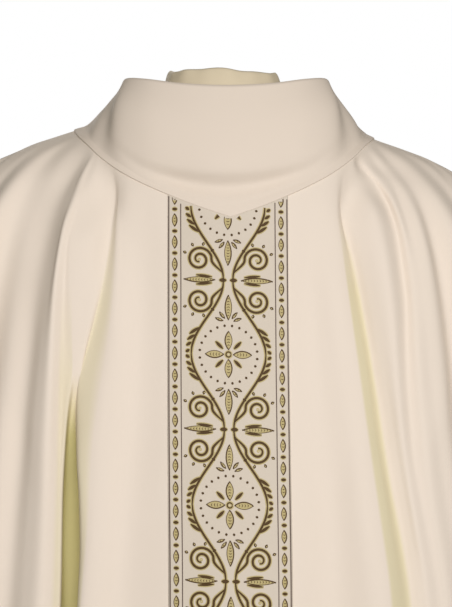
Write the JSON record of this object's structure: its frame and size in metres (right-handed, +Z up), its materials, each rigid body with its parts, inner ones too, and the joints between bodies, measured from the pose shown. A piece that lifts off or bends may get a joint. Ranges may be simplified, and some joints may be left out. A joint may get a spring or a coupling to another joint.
{
  "type": "chasuble",
  "caption": "Gothic chasuble with a cowl collar and a straight orphrey band down the front and back, draped as worn.",
  "frame": {"origin": "centre of the neck at the level where the garment lies on the shoulders beside the neck", "axes": "+Z up, the front of the garment faces -Y, +X is the wearer's left hand"},
  "size_m": [0.8323, 0.3999, 1.22],
  "materials": {
    "cloth": "plain-woven ivory suiting, matt, soft-handling",
    "collar_cloth": "the same ivory suiting, interlined and slightly stiff",
    "orphrey_brocade": "jacquard brocade, ivory ground with brown and pale gold figure",
    "lining": "ivory-yellow cotton sateen",
    "interlining": "white non-woven interlining",
    "tape": "twill tape"
  },
  "bodies": {
    "root": {"front_panel": "cloth", "back_panel": "cloth", "front_hem_facing": "cloth", "back_hem_facing": "cloth", "front_orphrey": "orphrey_brocade", "back_orphrey": "orphrey_brocade", "collar_front": "collar_cloth", "collar_back": "collar_cloth", "collar_front_interlining": "interlining", "collar_back_interlining": "interlining", "collar_front_facing": "collar_cloth", "collar_back_facing": "collar_cloth", "neckband": "lining", "front_yoke": "lining", "back_yoke": "lining", "left_shoulder_tape": "tape", "right_shoulder_tape": "tape"}
  },
  "joints": []
}
